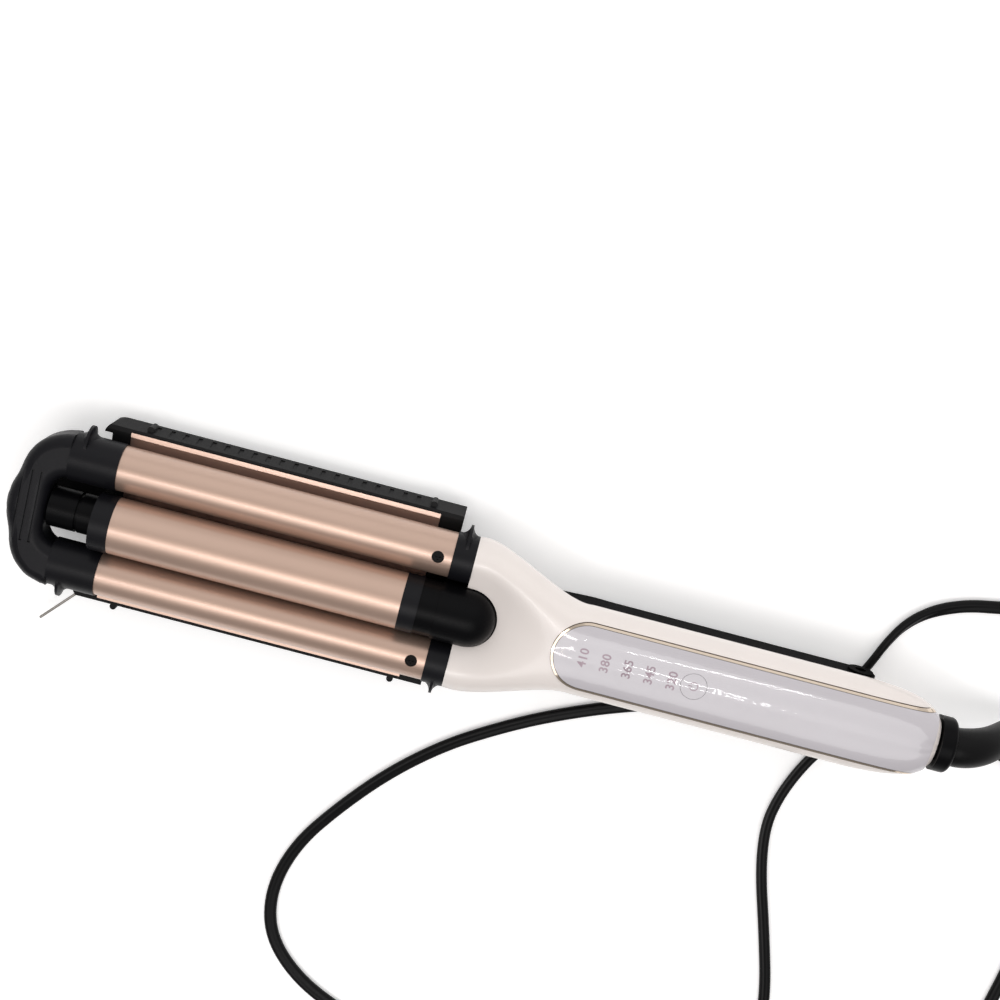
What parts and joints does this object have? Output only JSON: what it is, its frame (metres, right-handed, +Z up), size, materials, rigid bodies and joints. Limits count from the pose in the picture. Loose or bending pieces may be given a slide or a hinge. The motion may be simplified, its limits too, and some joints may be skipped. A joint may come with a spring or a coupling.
{
  "type": "hair waver",
  "caption": "Adjustable barrel hair waver: parallel heated barrels in a forked arm over a sprung wave-shaped jaw, with a control panel, swivel cord outlet, cord and plug.",
  "frame": {"origin": "middle of the flat resting face under the jaw", "axes": "+X along the tool from the barrel tip to the cord, +Z up from the resting face to the control panel, Y across the barrels"},
  "size_m": [0.4016, 0.249, 0.0384],
  "materials": {
    "barrel_metal": "fine brushed, champagne pink anodised",
    "heater_ceramic": "matt",
    "black_resin": "satin, heat resistant",
    "wire_steel": "drawn",
    "dark_screw": "black zinc",
    "pearl_white": "pearly, half gloss",
    "trim_metal": "bright",
    "panel_gloss": "high gloss, faint lilac",
    "board_green": "solder mask",
    "switch_black": "matt",
    "led_amber": "clear",
    "guide_clear": "clear",
    "cord_black": "satin",
    "blade_brass": "polished",
    "lead_rubber": "matt"
  },
  "bodies": {
    "upper_arm": {"front_shell": "pearl_white", "rear_shell": "pearl_white", "outer_barrel_left": "barrel_metal", "outer_barrel_right": "barrel_metal", "outer_heater_left": "heater_ceramic", "outer_heater_right": "heater_ceramic", "tip_collar_left": "black_resin", "tip_collar_right": "black_resin", "fork_collar_left": "black_resin", "fork_collar_right": "black_resin", "barrel_screws": "dark_screw", "tip_yoke": "black_resin", "handle_screws": "wire_steel", "panel_bezel": "trim_metal", "panel_lens": "panel_gloss", "circuit_board": "board_green", "power_switch": "switch_black", "indicator_leds": "led_amber", "light_guides": "guide_clear", "hinge_pin": "wire_steel", "opening_spring": "wire_steel", "cord_boot": "cord_black", "supply_cord": "cord_black", "cord_tail": "cord_black", "cord_coil": "cord_black", "plug_body": "cord_black", "plug_blades": "blade_brass", "mains_leads": "lead_rubber"},
    "middle_barrel": {"middle_barrel": "barrel_metal", "middle_heater": "heater_ceramic", "middle_tip_ring": "black_resin", "middle_rear_ring": "black_resin", "middle_hood": "black_resin"},
    "tip_dial": {"tip_dial": "black_resin"},
    "lower_arm": {"jaw_cover": "black_resin", "jaw_plate": "barrel_metal", "jaw_heaters": "heater_ceramic", "heater_clips": "wire_steel", "lower_handle": "black_resin", "lower_handle_lid": "black_resin", "wire_rest_pin": "wire_steel"},
    "wire_rest": {"wire_rest": "wire_steel"},
    "power_button": {"power_button": "panel_gloss"},
    "swivel": {"swivel_collar": "black_resin"}
  },
  "joints": [
    {"name": "middle_barrel_lift", "type": "slide", "parent": "upper_arm", "child": "middle_barrel", "axis": [0, 0, 1], "range_m": [-0.0094, 0]},
    {"name": "tip_dial_turn", "type": "hinge", "parent": "upper_arm", "child": "tip_dial", "pos_m": [-0.07, 0, 0.022], "axis": [1, 0, 0], "range_deg": [-120, 0]},
    {"name": "jaw_hinge", "type": "hinge", "parent": "upper_arm", "child": "lower_arm", "pos_m": [0.2141, 0, 0.014], "axis": [0, -1, 0], "range_deg": [0, 12], "stiffness_Nm_per_rad": 0.3, "springref_deg": 28.65},
    {"name": "wire_rest_swing", "type": "hinge", "parent": "lower_arm", "child": "wire_rest", "pos_m": [-0.0594, -0.027, 0.008], "axis": [0, 0, 1], "range_deg": [-40, 34]},
    {"name": "power_button_press", "type": "slide", "parent": "upper_arm", "child": "power_button", "axis": [0, 0, -1], "range_m": [0, 0.0005], "stiffness_N_per_m": 2000, "springref_m": -0.0005},
    {"name": "cord_swivel", "type": "hinge", "parent": "upper_arm", "child": "swivel", "pos_m": [0.2445, 0, 0.0285], "axis": [1, 0, 0], "continuous": true}
  ],
  "couplings": [
    {"joint": "tip_dial_turn", "follows": "middle_barrel_lift", "rad_per_m": 222.8}
  ]
}
